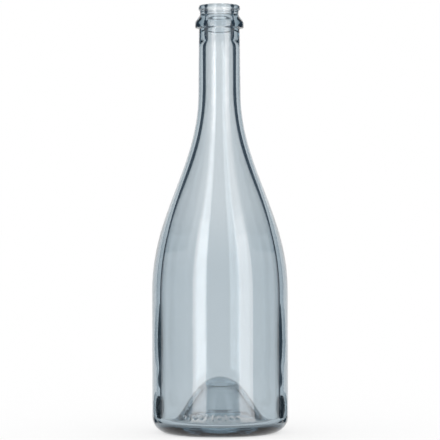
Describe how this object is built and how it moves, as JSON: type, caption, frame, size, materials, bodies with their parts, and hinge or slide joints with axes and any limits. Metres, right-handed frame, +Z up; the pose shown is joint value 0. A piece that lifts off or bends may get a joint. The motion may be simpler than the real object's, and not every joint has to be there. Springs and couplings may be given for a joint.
{
  "type": "sparkling wine bottle",
  "caption": "Empty clear glass bottle with long sloping shoulders, a cage ring and a crown lip at its open mouth, and a deep punt under its base.",
  "frame": {"origin": "centre of the base, on the plane that the bottle stands on", "axes": "+Z up along the bottle's own axis to the mouth; -Y is the front, the side with the row of mould marks"},
  "size_m": [0.0942, 0.0945, 0.296],
  "materials": {
    "clear_glass": "clear and glossy, with a faint grey-blue cast"
  },
  "bodies": {
    "root": {"glass_bottle": "clear_glass"}
  },
  "joints": []
}
